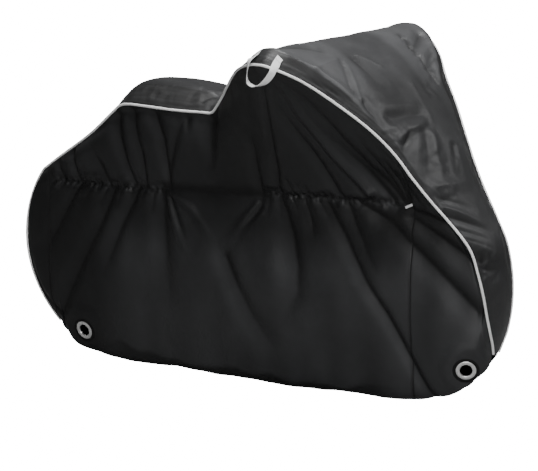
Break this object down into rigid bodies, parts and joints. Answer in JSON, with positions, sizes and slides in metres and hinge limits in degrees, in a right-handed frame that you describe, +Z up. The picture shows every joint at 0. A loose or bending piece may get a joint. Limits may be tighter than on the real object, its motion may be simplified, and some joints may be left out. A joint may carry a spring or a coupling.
{
  "type": "bicycle cover",
  "caption": "Fitted fabric bicycle cover, hollow and open below, with wings over the handlebar, elastic-gathered sides, piped edge seams, hanging loops and metal eyelets near the hem.",
  "frame": {"origin": "underside of the top cloth in its middle, over the handlebar, where the bicycle carries the cover", "axes": "+X to the front wheel, +Y to the left side of the bicycle, +Z up"},
  "size_m": [1.8178, 0.952, 1.1171],
  "materials": {
    "side_cloth": "near-black coated polyester with a soft sheen",
    "top_cloth": "dark grey coated polyester, a little shinier",
    "piping": "white reflective piping",
    "webbing": "light grey woven webbing",
    "eyelet": "bright polished"
  },
  "bodies": {
    "root": {"centre_strip": "top_cloth", "wing_right": "top_cloth", "side_main_right": "side_cloth", "side_front_right": "side_cloth", "side_rear_right": "side_cloth", "piping_right": "piping", "loop_right": "webbing", "tab_right": "webbing", "eyelet_patch_rear_right": "side_cloth", "eyelet_rear_right": "eyelet", "eyelet_patch_front_right": "side_cloth", "eyelet_front_right": "eyelet", "wing_left": "top_cloth", "side_main_left": "side_cloth", "side_front_left": "side_cloth", "side_rear_left": "side_cloth", "piping_left": "piping", "loop_left": "webbing", "tab_left": "webbing", "eyelet_patch_rear_left": "side_cloth", "eyelet_rear_left": "eyelet", "eyelet_patch_front_left": "side_cloth", "eyelet_front_left": "eyelet"}
  },
  "joints": []
}
